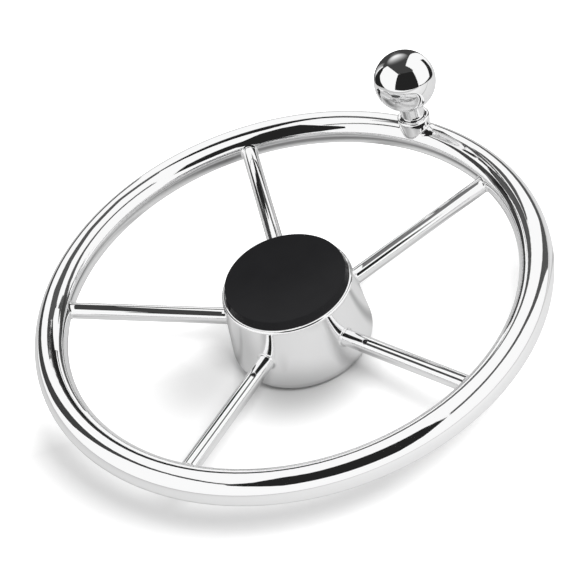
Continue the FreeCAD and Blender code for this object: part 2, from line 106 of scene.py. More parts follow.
class Tree:
    """A node tree that is built node by node."""

    def __init__(self, empty: bpy.types.NodeTree) -> None:
        """Start with no nodes.

        Args:
            empty: Blender's own tree, which loses the nodes that it has.
        """
        self.nodes = empty.nodes
        self.links = empty.links
        self.nodes.clear()

    @classmethod
    def of(cls, owner: bpy.types.Material | bpy.types.World) -> "Tree":
        """Start the shader tree of a material or of the world."""
        owner.use_nodes = True
        return cls(owner.node_tree)

    def node(
        self,
        kind: str,
        inputs: dict[str | int, object] | None = None,
        **settings: object,
    ) -> bpy.types.Node:
        """Add a node.

        Args:
            kind: The node's type.
            inputs: A value or a wire for each named or numbered input.
            **settings: The node's own properties, which are set before its inputs.

        Returns:
            The new node.
        """
        made = self.nodes.new(kind)
        for name, value in settings.items():
            setattr(made, name, value)
        for key, value in (inputs or {}).items():
            if isinstance(value, Wire):
                self.links.new(value.socket, made.inputs[key])
            else:
                made.inputs[key].default_value = value
        return made

    def wire(self, node: bpy.types.Node, output: str | int = 0) -> Wire:
        """One output of a node, ready for arithmetic."""
        return Wire(self, node.outputs[output])

    def maths(self, operation: str, *values: Wire | float) -> Wire:
        """The result of a Math node, whose inputs take the values in order."""
        return self.wire(self.node("ShaderNodeMath", dict(enumerate(values)), operation=operation))

    def position(self, centre: Sequence[float] = (0.0, 0.0, 0.0)) -> tuple[Wire, Wire, Wire]:
        """The surface point's place in the wheel's frame.

        Args:
            centre: The point that the place is measured from.

        Returns:
            The three coordinates, in metres.
        """
        place = self.wire(self.node("ShaderNodeTexCoord"), "Object")
        moved = self.node("ShaderNodeMapping", {"Vector": place, "Location": [-c for c in centre]})
        parts = self.node("ShaderNodeSeparateXYZ", {"Vector": self.wire(moved)})
        return tuple(self.wire(parts, axis) for axis in "XYZ")

    def vector(self, *parts: Wire | float) -> Wire:
        """Join numbers to one vector."""
        return self.wire(self.node("ShaderNodeCombineXYZ", dict(enumerate(parts))))

    def length(self, *parts: Wire) -> Wire:
        """The length of the line that has these parts along the axes.

        Args:
            *parts: Two or three coordinates.

        Returns:
            The root of the sum of their squares.
        """
        squares = parts[0] * parts[0]
        for part in parts[1:]:
            squares = squares + part * part
        return self.maths("SQRT", squares)

    def noise(self, place: Wire, scale: float, detail: float = 2.0) -> Wire:
        """Soft random relief from 0 to 1, so many features to a unit, with finer layers on it."""
        made = self.node("ShaderNodeTexNoise", {"Vector": place, "Scale": scale, "Detail": detail})
        return self.wire(made, "Fac")

    def ramp(
        self,
        value: Wire,
        span: tuple[float, float],
        most: float = 1.0,
        rise: Rise = Rise.STRAIGHT,
    ) -> Wire:
        """A number that climbs from zero to its most while the value crosses a span."""
        ends = {"Value": value, "From Min": span[0], "From Max": span[1], "To Max": most}
        return self.wire(self.node("ShaderNodeMapRange", ends, interpolation_type=rise.value))

    def relief(self, height: Wire, depth: float) -> Wire:
        """The surface's normal over a fine relief of a given depth."""
        bump = {"Height": height, "Strength": 1.0, "Distance": depth}
        return self.wire(self.node("ShaderNodeBump", bump))

    def glow(self, light: float) -> Wire:
        """An even white light."""
        return self.wire(self.node("ShaderNodeEmission", {"Strength": light}))

    def chalk(self, level: float) -> Wire:
        """A matt grey surface."""
        return self.wire(self.node("ShaderNodeBsdfDiffuse", {"Color": (level, level, level, 1.0)}))

    def blend(self, share: Wire, first: Wire, second: Wire) -> Wire:
        """A shader between two, which is the second one where the share is one."""
        return self.wire(self.node("ShaderNodeMixShader", {0: share, 1: first, 2: second}))

    def finish(self, shader: Wire) -> None:
        """Send a shader to the material's surface."""
        self.node("ShaderNodeOutputMaterial", {"Surface": shader})


@dataclass(frozen=True)
class WheelSizes:
    """The sizes of the wheel that its patterns and welds follow, in metres and radians."""

    rim_radius: float = 160.5 * MM
    tube_radius: float = 11.0 * MM
    rim_height: float = 45.0 * MM
    spoke_radius: float = 5.5 * MM
    spoke_hub_height: float = 27.0 * MM
    spoke_count: int = 5
    first_spoke: float = math.radians(90.0)
    hub_height: float = 53.0 * MM
    hub_base_radius: float = 47.8 * MM
    hub_lip_radius: float = 43.3 * MM
    sheet: float = 1.5 * MM
    boss_flange_radius: float = 27.0 * MM
    knob_angle: float = math.radians(44.5)
    socket_top: float = 19.0 * MM
    socket_mouth_radius: float = 11.6 * MM
    socket_foot_radius: float = 8.7 * MM

    @property
    def rim_centre(self) -> Vector:
        """The middle of the rim's ring."""
        return Vector((0.0, 0.0, self.rim_height))

    @property
    def knob_foot(self) -> Vector:
        """The point in the middle of the rim's tube under the knob."""
        out = Vector((math.cos(self.knob_angle), math.sin(self.knob_angle), 0.0))
        return out * self.rim_radius + self.rim_centre

    def rim_surface(self, point: Vector) -> float:
        """How far a point lies outside the rim's tube."""
        from_ring = math.hypot(point.x, point.y) - self.rim_radius
        return math.hypot(from_ring, point.z - self.rim_height) - self.tube_radius

    def hub_surface(self, point: Vector) -> float:
        """How far a point lies outside the hub's tapered wall.

        Args:
            point: The point.

        Returns:
            The distance, below zero inside the wall.
        """
        taper = (self.hub_base_radius - self.hub_lip_radius) / self.hub_height
        wall = self.hub_base_radius - taper * point.z
        return (math.hypot(point.x, point.y) - wall) / math.hypot(1.0, taper)

    def cup_floor(self, point: Vector) -> float:
        """How far a point lies above the sheet of the hub's bottom."""
        return point.z - self.sheet


SIZES = WheelSizes()


def streaks(tree: Tree, lay: Lay, lines: float, breaks: float) -> Wire:
    """Relief of fine lines that run one way over a piece.

    Args:
        tree: The material's tree.
        lay: Which way the lines run.
        lines: How many lines there are to a metre across them.
        breaks: How many times to a metre along them they change.

    Returns:
        The relief's height, from 0 to 1.
    """
    centre = SIZES.knob_foot if lay is Lay.ROUND_KNOB else (0.0, 0.0, 0.0)
    x, y, z = tree.position(centre)
    from_axis = tree.length(x, y)
    turn = tree.maths("ARCTAN2", y, x)
    if lay is Lay.ALONG_RIM:
        out = from_axis - SIZES.rim_radius
        girth = tree.maths("ARCTAN2", z - SIZES.rim_height, out) * SIZES.tube_radius
        place = tree.vector(girth * lines, turn * (SIZES.rim_radius * breaks), 0.0)
    elif lay is Lay.ROUND_SPOKE:
        place = tree.vector(from_axis * lines, z * breaks, 0.0)
    else:
        radius = SIZES.hub_lip_radius if lay is Lay.ROUND_SHAFT else SIZES.tube_radius
        place = tree.vector(from_axis * lines, z * lines, turn * (radius * breaks))
    return tree.noise(place, 1.0)


@dataclass(frozen=True)
class PolishedSteel:
    """Stainless steel polished to a mirror, with faint lines from the polishing wheel."""

    lay: Lay
    colour: Colour = (0.95, 0.95, 0.953)
    roughness: float = 0.025
    haze: float = 0.03
    line_haze: float = 0.02
    lines_per_metre: float = 5200.0
    breaks_per_metre: float = 60.0
    clouds_per_metre: float = 90.0
    ripples_per_metre: float = 220.0
    ripple_depth: float = 0.010 * MM

    def material(self) -> bpy.types.Material:
        """Build the finish.

        Returns:
            The material.
        """
        made = bpy.data.materials.new(f"polished_steel_{self.lay.name.lower()}")
        tree = Tree.of(made)
        place = tree.vector(*tree.position())
        lines = streaks(tree, self.lay, self.lines_per_metre, self.breaks_per_metre)
        cloud = tree.noise(place, self.clouds_per_metre)
        ripple = tree.noise(place, self.ripples_per_metre, 0.0)
        shader = tree.node("ShaderNodeBsdfPrincipled", {
            "Base Color": (*self.colour, 1.0),
            "Metallic": 1.0,
            "Roughness": cloud * self.haze + lines * self.line_haze + self.roughness,
            "Normal": tree.relief(ripple, self.ripple_depth),
        })
        tree.finish(tree.wire(shader))
        return made


@dataclass(frozen=True)
class TurnedSteel:
    """Stainless steel as it leaves the lathe, with its fine feed lines."""

    lay: Lay
    colour: Colour = (0.62, 0.62, 0.63)
    roughness: float = 0.24
    haze: float = 0.12
    lines_per_metre: float = 3600.0
    breaks_per_metre: float = 20.0
    line_depth: float = 0.004 * MM

    def material(self) -> bpy.types.Material:
        """Build the finish.

        Returns:
            The material.
        """
        made = bpy.data.materials.new(f"turned_steel_{self.lay.name.lower()}")
        tree = Tree.of(made)
        lines = streaks(tree, self.lay, self.lines_per_metre, self.breaks_per_metre)
        shader = tree.node("ShaderNodeBsdfPrincipled", {
            "Base Color": (*self.colour, 1.0),
            "Metallic": 1.0,
            "Roughness": lines * self.haze + self.roughness,
            "Normal": tree.relief(lines, self.line_depth),
        })
        tree.finish(tree.wire(shader))
        return made


@dataclass(frozen=True)
class MouldedPlastic:
    """Moulded plastic with a fine even grain, or machined plastic."""

    name: str
    colour: Colour
    shade: float
    roughness: float
    grains_per_metre: float = 2600.0
    grain_depth: float = 0.004 * MM
    grain_haze: float = 0.08
    clouds_per_metre: float = 70.0
    specular: float = 0.5

    def material(self) -> bpy.types.Material:
        """Build the finish.

        Returns:
            The material.
        """
        made = bpy.data.materials.new(self.name)
        tree = Tree.of(made)
        place = tree.vector(*tree.position())
        grain = tree.noise(place, self.grains_per_metre)
        cloud = tree.noise(place, self.clouds_per_metre)
        dark = tuple(c * (1.0 - self.shade) for c in self.colour)
        tint = tree.node("ShaderNodeMix", {
            0: cloud, MIX_COLOUR_A: (*dark, 1.0), MIX_COLOUR_B: (*self.colour, 1.0),
        }, data_type="RGBA")
        shader = tree.node("ShaderNodeBsdfPrincipled", {
            "Base Color": tree.wire(tint, MIX_COLOUR_RESULT),
            "Roughness": grain * self.grain_haze + self.roughness,
            "Specular IOR Level": self.specular,
            "Normal": tree.relief(grain, self.grain_depth),
        })
        tree.finish(tree.wire(shader))
        return made


class Finishes:
    """One material for each finish of the wheel."""

    def __init__(self) -> None:
        """Build every finish once."""
        self.rim = PolishedSteel(Lay.ALONG_RIM).material()
        self.spoke = PolishedSteel(Lay.ROUND_SPOKE).material()
        self.hub = PolishedSteel(Lay.ROUND_SHAFT).material()
        self.knob = PolishedSteel(Lay.ROUND_KNOB, ripple_depth=0.004 * MM).material()
        self.boss = TurnedSteel(Lay.ROUND_SHAFT).material()
        self.spindle = TurnedSteel(Lay.ROUND_KNOB).material()
        self.spring = TurnedSteel(
            Lay.ROUND_KNOB, colour=(0.5, 0.5, 0.51), roughness=0.32, lines_per_metre=900.0,
        ).material()
        self.cap = MouldedPlastic(
            "black_cap_moulding", colour=(0.015, 0.015, 0.016), shade=0.2, roughness=0.10,
            specular=0.06,
        ).material()
        self.rubber = MouldedPlastic(
            "ring_nitrile", colour=(0.02, 0.02, 0.02), shade=0.25, roughness=0.55,
            grains_per_metre=1400.0,
        ).material()
        self.bearing = MouldedPlastic(
            "bearing_acetal", colour=(0.80, 0.79, 0.75), shade=0.06, roughness=0.38,
            grains_per_metre=1900.0,
        ).material()


def paint(node_name: str, material: bpy.types.Material) -> None:
    """Put a finish on one of the frame's own nodes.

    Args:
        node_name: The node's name.
        material: The finish.
    """
    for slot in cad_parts[node_name].material_slots:
        slot.material = material
    LOG.info("%s: %s", node_name, material.name)


def place_object(name: str, data: bpy.types.ID) -> bpy.types.Object:
    """Make an object of some data and put it in the scene.

    Args:
        name: The object's name.
        data: Its mesh, light or camera.

    Returns:
        The object.
    """
    made = bpy.data.objects.new(name, data)
    bpy.context.scene.collection.objects.link(made)
    return made


def add_weld(mesh: bpy.types.Mesh, name: str, material: bpy.types.Material) -> None:
    """Show a finished mesh as one piece that rides on the wheel.

    Args:
        mesh: The piece's mesh, in the wheel's frame.
        name: The piece's name.
        material: Its finish.
    """
    mesh.name = name
    mesh.materials.clear()
    mesh.materials.append(material)
    piece = place_object(name, mesh)
    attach(piece, WHEEL_BODY)
    LOG.info("%s: %d faces on %s", name, len(mesh.polygons), WHEEL_BODY)


@dataclass(frozen=True)
class WeldBead:
    """A fillet weld round a stem, ground to a hollow curve that runs into both surfaces.

    The stem runs from its start to an end that lies under the other surface. A leg is how far the
    bead reaches along each surface, the flare is what the stem's radius gains along it, and the
    root is how deep the bead's back lies under the corner. Its edges are sunk a little, so that
    no gap shows.
    """

    start: Vector
    end: Vector
    stem_radius: float
    surface: Callable[[Vector], float]
    leg: float
    flare: float = 0.0
    root: float = 0.5 * MM
    sunk: float = 0.02 * MM
    places: int = 120
    steps: int = 8
    halvings: int = 40
    probe: float = 0.01 * MM

    def stem_point(self, turn: float, along: float) -> Vector:
        """A point on the stem's surface.

        Args:
            turn: The angle round the stem.
            along: The distance from the stem's start.

        Returns:
            The point.
        """
        axis = (self.end - self.start).normalized()
        side = axis.orthogonal().normalized()
        out = Matrix.Rotation(turn, 3, axis) @ side
        return self.start + axis * along + out * (self.stem_radius + self.flare * along)

    def meeting(self, turn: float) -> float:
        """How far along the stem its surface meets the other surface.

        Args:
            turn: The angle round the stem.

        Returns:
            The distance from the stem's start.
        """
        low, high = 0.0, (self.end - self.start).length
        for _ in range(self.halvings):
            middle = (low + high) / 2
            outside = self.surface(self.stem_point(turn, middle)) > 0.0
            low, high = (middle, high) if outside else (low, middle)
        return (low + high) / 2

    def outward(self, point: Vector) -> Vector:
        """The other surface's normal.

        Args:
            point: A point at the surface.

        Returns:
            The direction that leads out of it.
        """
        slopes = []
        for axis in range(3):
            shift = Vector([self.probe if i == axis else 0.0 for i in range(3)])
            slopes.append(self.surface(point + shift) - self.surface(point - shift))
        return Vector(slopes).normalized()

    def section(self, turn: float) -> list[Vector]:
        """The bead's closed section at one place round the stem.

        Args:
            turn: The angle round the stem.

        Returns:
            The section's corners, from the stem over the hollow face to the root.
        """
        along = self.meeting(turn)
        corner = self.stem_point(turn, along)
        foot = self.stem_point(turn, along - self.leg)
        axis = (self.end - self.start).normalized()
        away = (corner - (self.start + axis * along)).normalized()
        normal = self.outward(corner)
        spread = (away - normal * away.dot(normal)).normalized()
        toe = corner + spread * self.leg
        toe -= self.outward(toe) * self.surface(toe)
        foot -= away * self.sunk
        toe -= normal * self.sunk
        points = []
        for step in range(self.steps + 1):
            to_toe = step / self.steps
            to_foot = 1 - to_toe
            points.append(foot * to_foot ** 2 + corner * (2 * to_toe * to_foot) + toe * to_toe ** 2)
        points.append(corner - (away + normal) * self.root)
        return points

    def mesh(self) -> bpy.types.Mesh:
        """The whole bead as a closed ring.

        Returns:
            The mesh, smooth but for its three edges.
        """
        made = bpy.data.meshes.new("bead")
        turns = [2 * math.pi * place / self.places for place in range(self.places)]
        points = [point for turn in turns for point in self.section(turn)]
        count = len(points) // self.places
        faces = []
        for place in range(self.places):
            here, there = place * count, (place + 1) % self.places * count
            for corner in range(count):
                after = (corner + 1) % count
                faces.append((here + corner, here + after, there + after, there + corner))
        made.from_pydata(points, [], faces)
        self.point_outwards(made)
        made.shade_smooth()
        for edge in made.edges:
            one, other = (vertex % count for vertex in edge.vertices)
            edge.use_edge_sharp = one == other and one in (0, self.steps, self.steps + 1)
        return made

    def point_outwards(self, mesh: bpy.types.Mesh) -> None:
        """Turn the ring's faces so that they point out of it.

        Args:
            mesh: The closed ring.
        """
        work = bmesh.new()
        work.from_mesh(mesh)
        bmesh.ops.recalc_face_normals(work, faces=work.faces)
        work.to_mesh(mesh)
        work.free()


class RingOfCopies:
    """Repeats a mesh round the wheel's axis with Geometry Nodes."""

    def __init__(self) -> None:
        """Build the tree once."""
        self.group = bpy.data.node_groups.new("ring_of_copies", "GeometryNodeTree")
        face = self.group.interface
        face.new_socket("Shape", in_out="INPUT", socket_type="NodeSocketGeometry")
        self.count_in = face.new_socket("Copies", in_out="INPUT", socket_type="NodeSocketInt")
        self.finish_in = face.new_socket("Finish", in_out="INPUT", socket_type="NodeSocketMaterial")
        face.new_socket("Shape", in_out="OUTPUT", socket_type="NodeSocketGeometry")
        tree = Tree(self.group)
        given = tree.node("NodeGroupInput")
        shape, count, finish = (tree.wire(given, name) for name in ("Shape", "Copies", "Finish"))
        points = tree.node("GeometryNodeMeshLine", {"Count": count, "Offset": (0.0, 0.0, 0.0)})
        share = tree.maths("DIVIDE", 2 * math.pi, count)
        turn = tree.wire(tree.node("GeometryNodeInputIndex")) * share
        rotation = tree.node("FunctionNodeEulerToRotation", {0: tree.vector(0.0, 0.0, turn)})
        copies = tree.node("GeometryNodeInstanceOnPoints", {
            "Points": tree.wire(points), "Instance": shape, "Rotation": tree.wire(rotation),
        })
        real = tree.node("GeometryNodeRealizeInstances", {0: tree.wire(copies)})
        finished = tree.node("GeometryNodeSetMaterial", {
            "Geometry": tree.wire(real), "Material": finish,
        })
        tree.node("NodeGroupOutput", {0: tree.wire(finished)})

    def repeat(
        self, mesh: bpy.types.Mesh, count: int, material: bpy.types.Material,
    ) -> bpy.types.Mesh:
        """Make one plain mesh of equal copies round the axis.

        Args:
            mesh: The shape to repeat.
            count: How many copies.
            material: Their finish.

        Returns:
            The joined mesh.
        """
        carrier = place_object("carrier", mesh)
        modifier = carrier.modifiers.new("copies", "NODES")
        modifier.node_group = self.group
        modifier[self.count_in.identifier] = count
        modifier[self.finish_in.identifier] = material
        graph = bpy.context.evaluated_depsgraph_get()
        made = bpy.data.meshes.new_from_object(carrier.evaluated_get(graph), depsgraph=graph)
        carrier.modifiers.remove(modifier)
        bpy.data.objects.remove(carrier)
        return made


@dataclass
class Rim:
    """The rim's tube."""

    finishes: Finishes

    def build(self) -> None:
        """Polish the tube."""
        paint("rim_tube", self.finishes.rim)


@dataclass
class Spokes:
    """The five rods and the welds at both their ends.

    The weld at the hub is sought along an axis that runs on into the hub, by a share of half the
    rod's length.
    """

    finishes: Finishes
    copies: RingOfCopies
    rim_leg: float = 1.5 * MM
    hub_leg: float = 1.7 * MM
    run_on: float = 0.1

    def axis_ends(self) -> tuple[Vector, Vector]:
        """The first spoke's axis, from the hub's lip to the middle of the rim's tube.

        Returns:
            Its inner and its outer end.
        """
        out = Vector((math.cos(SIZES.first_spoke), math.sin(SIZES.first_spoke), 0.0))
        inner = out * SIZES.hub_lip_radius + UP * SIZES.spoke_hub_height
        outer = out * SIZES.rim_radius + UP * SIZES.rim_height
        return inner, outer

    def build(self) -> None:
        """Polish the rods and weld them in."""
        for number in range(1, SIZES.spoke_count + 1):
            paint(f"spoke_{number}", self.finishes.spoke)
        inner, outer = self.axis_ends()
        middle = (inner + outer) / 2
        radius = SIZES.spoke_radius
        in_hub = inner + (inner - middle) * self.run_on
        at_rim = WeldBead(middle, outer, radius, SIZES.rim_surface, self.rim_leg)
        at_hub = WeldBead(middle, in_hub, radius, SIZES.hub_surface, self.hub_leg)
        for name, bead, finish in (
            ("spoke_rim_welds", at_rim, self.finishes.rim),
            ("spoke_hub_welds", at_hub, self.finishes.hub),
        ):
            add_weld(self.copies.repeat(bead.mesh(), SIZES.spoke_count, finish), name, finish)


@dataclass
class Hub:
    """The drawn cup, the boss inside it and the weld round the edge of the boss's flange."""

    finishes: Finishes
    boss_leg: float = 2.0 * MM
    flange_edge: float = 2.9 * MM
    weld_places: int = 180

    def build(self) -> None:
        """Finish the cup and the boss and weld them together."""
        paint("hub_shell", self.finishes.hub)
        paint("hub_boss", self.finishes.boss)
        bead = WeldBead(
            UP * (SIZES.sheet + self.flange_edge), Vector(), SIZES.boss_flange_radius,
            SIZES.cup_floor, self.boss_leg, places=self.weld_places,
        )
        add_weld(bead.mesh(), "boss_weld", self.finishes.boss)


@dataclass
class CentreCap:
    """The black cap and the rubber ring that holds it."""

    finishes: Finishes

    def build(self) -> None:
        """Finish the cap and its ring."""
        paint("centre_cap", self.finishes.cap)
        paint("cap_o_ring", self.finishes.rubber)


@dataclass
class SpinnerKnob:
    """The ball, the spindle that it turns on, and the socket on the rim."""

    finishes: Finishes
    socket_leg: float = 1.2 * MM

    def build(self) -> None:
        """Finish every piece of the knob and weld its socket to the rim."""
        paint("knob_ball", self.finishes.knob)
        paint("knob_socket", self.finishes.knob)
        paint("knob_spindle", self.finishes.spindle)
        paint("knob_retaining_ring", self.finishes.spring)
        for name in ("knob_base_washer", "knob_thrust_washer", "knob_lower_bush", "knob_upper_bush"):
            paint(name, self.finishes.bearing)
        foot = SIZES.knob_foot
        mouth = SIZES.socket_mouth_radius
        bead = WeldBead(
            foot + UP * SIZES.socket_top, foot, mouth, SIZES.rim_surface, self.socket_leg,
            flare=(SIZES.socket_foot_radius - mouth) / SIZES.socket_top,
        )
        add_weld(bead.mesh(), "socket_weld", self.finishes.knob)


@dataclass(frozen=True)
class Card:
    """A flat card of the studio that only shows in the steel. Its corners are in millimetres."""

    name: str
    corners: tuple[Corner, ...]
    light: float

    def faces(self) -> list[tuple[int, ...]]:
        """The corners that each face joins."""
        return [tuple(range(len(self.corners)))]

    def shader(self, tree: Tree) -> Wire:
        """The card's even light."""
        return tree.glow(self.light)

    def build(self) -> None:
        """Hang the card where the reflections find it."""
        mesh = bpy.data.meshes.new(self.name)
        mesh.from_pydata([Vector(corner) * MM for corner in self.corners], [], self.faces())
        material = bpy.data.materials.new(self.name)
        tree = Tree.of(material)
        tree.finish(self.shader(tree))
        material.cycles.emission_sampling = "NONE"
        mesh.materials.append(material)
        card = place_object(self.name, mesh)
        card.visible_camera = False
        card.visible_diffuse = False
        card.visible_shadow = False
        card.visible_transmission = False


@dataclass(frozen=True)
class BentCard(Card):
    """A strip between two bent edges. Its corners come in pairs, one on each edge."""

    def faces(self) -> list[tuple[int, ...]]:
        """One face between each pair of corners and the next."""
        return [(i, i + 1, i + 3, i + 2) for i in range(0, len(self.corners) - 2, 2)]


@dataclass(frozen=True)
class GlowingCard(Card):
    """A dark card with one soft bright spot, a painted highlight where the steel mirrors it."""

    spot: Corner
    spot_light: float
    spot_reach: float

    def shader(self, tree: Tree) -> Wire:
        """The card's light, which grows towards the spot.

        Args:
            tree: The card's own tree.

        Returns:
            The shader for its surface.
        """
        away = tree.length(*tree.position([c * MM for c in self.spot]))
        share = tree.ramp(away, (self.spot_reach * MM, 0.0), rise=Rise.SOFT)
        return tree.blend(share, super().shader(tree), tree.glow(self.spot_light))


def looked_at(tree: Tree) -> Wire:
    """One where a surface is seen or mirrored, and zero where it only gives light.

    Args:
        tree: The tree that asks.

    Returns:
        The switch between the two.
    """
    path = tree.node("ShaderNodeLightPath")
    seen = tree.wire(path, "Is Camera Ray")
    for kind in ("Is Glossy Ray", "Is Transmission Ray"):
        seen = tree.maths("MAXIMUM", seen, tree.wire(path, kind))
    return seen


@dataclass(frozen=True)
class SoftShade:
    """A round soft painted shadow on the floor, in millimetres, darkest inside its core."""

    place: tuple[float, float]
    reach: float
    core: float
    depth: float

    def share(self, tree: Tree, x: Wire, y: Wire) -> Wire:
        """The share of light that is lost at a point of the floor, from zero at the edge."""
        away = tree.length(x - self.place[0] * MM, y - self.place[1] * MM)
        return tree.ramp(away, (self.reach * MM, self.core * MM), self.depth, Rise.SOFT)


@dataclass(frozen=True)
class MirroredShadowStreak:
    """A soft painted shadow streak that runs out from the hub and shows only in the steel, in
    millimetres.
    """

    azimuth: float
    half_width: float
    fade: tuple[float, float]
    depth: float

    def share(self, tree: Tree, x: Wire, y: Wire) -> Wire:
        """The share of light that is lost.

        Args:
            tree: The floor's tree.
            x: The floor point's first coordinate.
            y: Its second coordinate.

        Returns:
            The share, from zero at the streak's sides.
        """
        turn = math.radians(self.azimuth)
        out_x, out_y = math.cos(turn), math.sin(turn)
        across = tree.maths("ABSOLUTE", x * out_y - y * out_x)
        body = tree.ramp(across, (self.half_width * MM, 0.0), self.depth, Rise.SOFT)
        near, far = (radius * MM for radius in self.fade)
        return body * tree.ramp(x * out_x + y * out_y, (near, far))


# Painted shadow on the floor round the hub's foot, seen by the camera and mirrored in the steel
HUB_SHADES = (
    SoftShade(place=(-8, -24), reach=64, core=20, depth=0.54),
    SoftShade(place=(-72, -12), reach=50, core=5, depth=0.28),
)
# Painted shadow streaks on the floor that only the steel mirrors, as dark bands on the hub's wall
HUB_MIRRORED_SHADOWS = (
    MirroredShadowStreak(azimuth=-178, half_width=13, fade=(120, 80), depth=0.42),
    MirroredShadowStreak(azimuth=-120, half_width=16, fade=(95, 50), depth=0.4),
    MirroredShadowStreak(azimuth=-60, half_width=14, fade=(110, 60), depth=0.22),
)

# How bright the cards are
BLACK = 0.018
DARK = 0.053
SLATE = 0.09
ASH = 0.18
WHITE = 1.0

# Heights, slopes and walls that corners of the cards share, in millimetres
BAR_TOP = 300.0
SLOPE_RISE = 0.5
SLOPE_HEIGHT = 486.0
FAR = 2000.0
FAR_LEVEL = 50.0
HOOD_LEVEL = 122.0
BACK_WALL = 139.0
BACK_FOOT = 86.0


def overhead(x: float, y: float) -> Corner:
    """A corner on the slope over the wheel's near side, where the camera stands."""
    return x, y, SLOPE_RISE * y + SLOPE_HEIGHT


def far_off(azimuth: float, elevation: float) -> Corner:
    """A corner far off in one direction.

    Args:
        azimuth: The direction's turn from X, in degrees.
        elevation: How high it points, in degrees.

    Returns:
        The corner.
    """
    turn, rise = math.radians(azimuth), math.radians(elevation)
    level = FAR * math.cos(rise)
    return level * math.cos(turn), level * math.sin(turn), FAR * math.sin(rise) + FAR_LEVEL


def at_x(x: float, *places: tuple[float, float]) -> tuple[Corner, ...]:
    """Corners in one upright plane that faces left and right, each given by y and z."""
    return tuple((x, y, z) for y, z in places)


def at_y(y: float, *places: tuple[float, float]) -> tuple[Corner, ...]:
    """Corners in one upright plane that faces front and back, each given by x and z."""
    return tuple((x, y, z) for x, z in places)


def at_z(z: float, *places: tuple[float, float]) -> tuple[Corner, ...]:
    """Corners in one level plane, each given by x and y."""
    return tuple((x, y, z) for x, y in places)


ROOM_CARDS = (
    Card("camera_black", (
        overhead(-146, -390), overhead(0, -425), overhead(151, -437), overhead(213, -377),
        overhead(245, -260), overhead(137, -142), overhead(-51, -140), overhead(-94, -103),
        overhead(-160, -189), overhead(-235, -211), overhead(-245, -252), overhead(-197, -313),
    ), BLACK),
    BentCard("bar_left", (
        (-182, 228, 262), (-188, 250, BAR_TOP),
        (-142, 228, 200), (-140, 255, BAR_TOP),
        (-86, 200, 150), (-86, 257, BAR_TOP),
    ), DARK),
    BentCard("bar_middle", (
        (-86, 200, 150), (-86, 257, BAR_TOP),
        (-60, 205, 165), (-60, 262, BAR_TOP),
        (-30, 212, 185), (-30, 240, BAR_TOP),
        (0, 218, 198), (0, 245, BAR_TOP),
        (20, 224, 185), (20, 250, BAR_TOP),
    ), BLACK),
    BentCard("bar_foot", at_z(
        150,
        (-90, 205), (-83, 189), (-61, 198), (-56, 183), (-34, 189), (-28, 163), (-13, 193),
        (-10, 155), (10, 193), (7, 151), (33, 206), (27, 175), (61, 217), (55, 200),
    ), BLACK),
    BentCard("bar_right", (
        (20, 224, 185), (20, 250, BAR_TOP),
        (35, 228, 172), (33, 258, BAR_TOP),
        (60, 230, 165), (60, 262, BAR_TOP),
        (100, 230, 180), (100, 262, BAR_TOP),
        (150, 228, 200), (150, 246, 296),
        (175, 228, 195), (175, 240, 276),
        (196, 228, 215), (198, 230, 248),
    ), SLATE),
    BentCard("left_frame", (
        far_off(102, 0), far_off(102, 14), far_off(116, -2), far_off(116, 12),
        far_off(130, 2), far_off(128, 22), far_off(140, 8), far_off(132, 32),
        far_off(150, 16), far_off(132, 42), far_off(157, 26), far_off(137, 49),
        far_off(159, 40), far_off(140, 53), far_off(160, 50), far_off(148, 57),
        far_off(170, 57), far_off(165, 62), far_off(-160, 58), far_off(-165, 62),
        far_off(-140, 54), far_off(-140, 58),
    ), DARK),
    BentCard("right_frame", (
        far_off(-35, 52), far_off(-25, 60), far_off(0, 51), far_off(5, 58),
        far_off(15, 42), far_off(28, 48), far_off(20, 25), far_off(34, 30),
        far_off(22, 2), far_off(40, 14), far_off(50, -4), far_off(50, 14),
        far_off(70, -4), far_off(70, 8),
    ), SLATE),
)
# The knob's cards hang a few millimetres round the ball and socket, and only the steel mirrors them:
# they paint its dark reflections and, with the glowing spot, its soft painted highlight
GLOW = {"spot": (112, 126, HOOD_LEVEL), "spot_light": 0.95, "spot_reach": 16.5}
KNOB_CARDS = (
    Card("knob_black", at_y(
        86,
        (95, 104), (108, 102), (127, 100), (132, 114), (142, 139), (142, 145), (96, 146),
    ), BLACK),
    Card("knob_black_front", at_y(
        84.5,
        (97, 106), (108, 104), (126, 102), (130, 115), (140, 140), (140, 143), (98, 144),
    ), SLATE),
    GlowingCard("knob_hood", at_z(
        HOOD_LEVEL,
        (106, 96), (116, 94), (129, 94), (129, 97), (119, 104), (130, 126),
        (137, BACK_WALL), (76, BACK_WALL), (83, 128), (97, 118),
    ), DARK, **GLOW),
    GlowingCard("knob_back", at_y(
        BACK_WALL,
        (92, BACK_FOOT), (138, BACK_FOOT), (137, HOOD_LEVEL), (92, HOOD_LEVEL),
    ), DARK, **GLOW),
    GlowingCard("knob_back_left", at_y(
        BACK_WALL,
        (76, BACK_FOOT), (92, BACK_FOOT), (92, HOOD_LEVEL), (76, HOOD_LEVEL),
    ), DARK, spot=(73, BACK_WALL, 106), spot_light=0.9, spot_reach=27.0),
    Card("knob_left_edge", at_x(
        86,
        (99, 102), (110, 106), (117, 110), (122, 118), (129, 122), (132, 122), (128, 97),
        (122, 95), (107, 100),
    ), BLACK),
    Card("knob_right_edge", at_x(
        143,
        (120, 115), (124, 108), (119, 104), (113, 97), (109, 94), (104, 94), (94, 96), (69, 98),
        (65, 101), (84, 98), (101, 98), (105, 102), (113, 109),
    ), BLACK),
    Card("knob_left_window", at_x(
        83,
        (68, 112), (106, 112), (112, 100), (BACK_WALL, 100), (BACK_WALL, 158), (68, 158),
    ), WHITE),
    Card("knob_right_window", at_x(
        146,
        (61, 95), (158, 98), (158, 174), (61, 172),
    ), WHITE),
)
